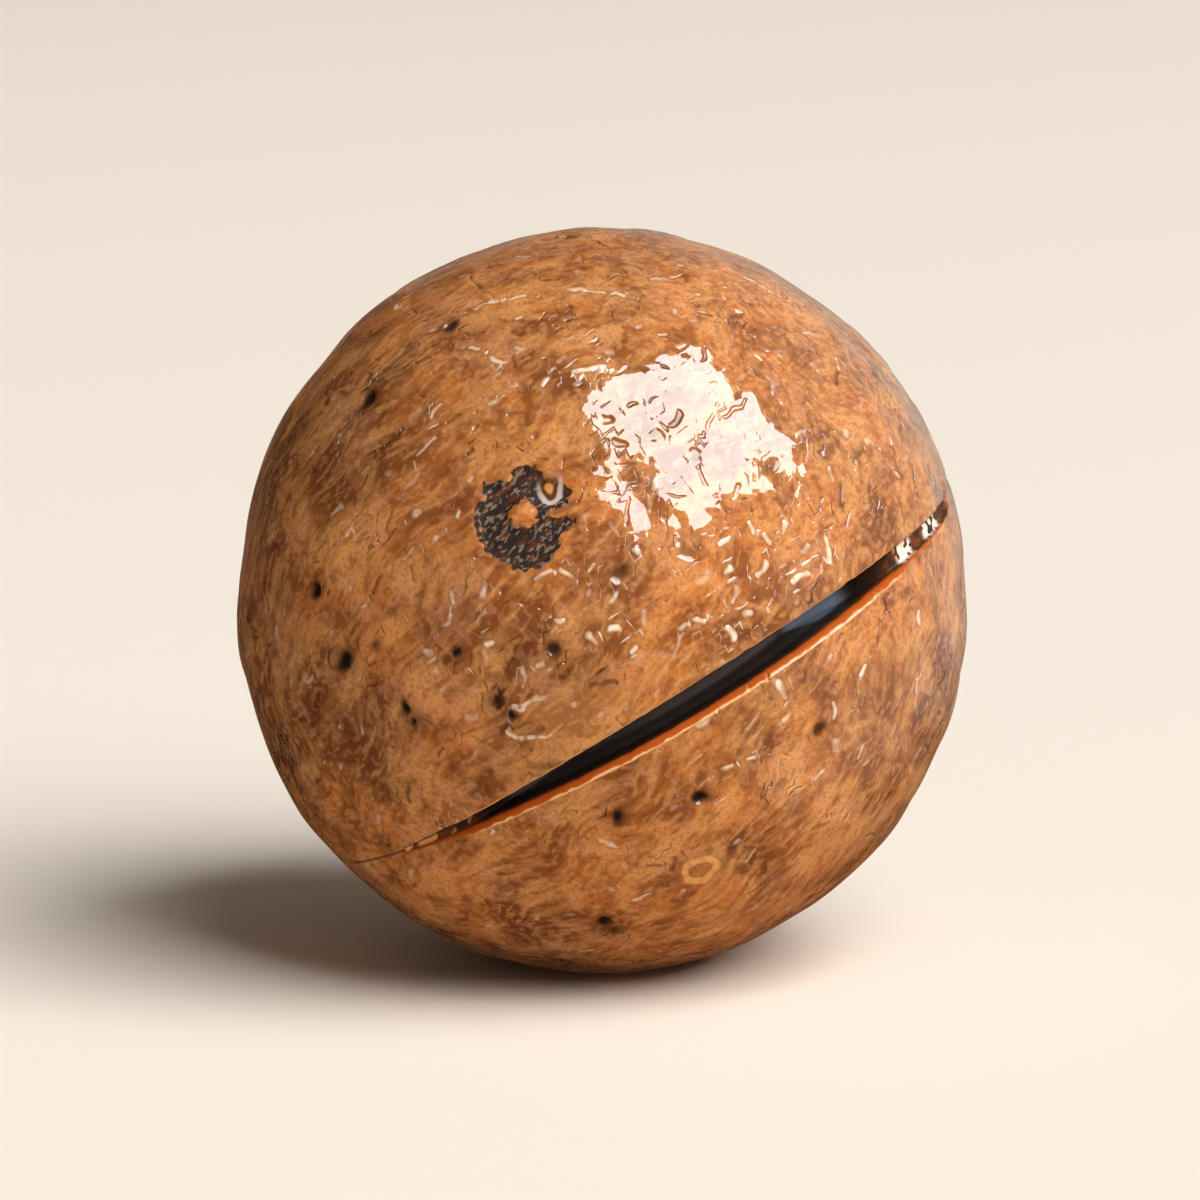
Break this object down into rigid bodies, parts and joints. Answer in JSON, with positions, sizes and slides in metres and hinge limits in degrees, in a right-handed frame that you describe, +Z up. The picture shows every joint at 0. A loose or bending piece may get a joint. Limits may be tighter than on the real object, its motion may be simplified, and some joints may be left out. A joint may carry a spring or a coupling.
{
  "type": "macadamia nut in shell",
  "caption": "Round brown macadamia nut in its hard glossy shell, sawn open by one long narrow slit, lying on a small flat spot.",
  "frame": {"origin": "bottom centre of the bounding box, on the surface that the nut rests on", "axes": "+Z up, the sawn face looks along -Y and a little up, +X to the right as that face is seen"},
  "size_m": [0.0248, 0.0252, 0.0252],
  "materials": {
    "nut_shell": "glossy mottled red-brown shell"
  },
  "bodies": {
    "root": {"nut": "nut_shell"}
  },
  "joints": []
}
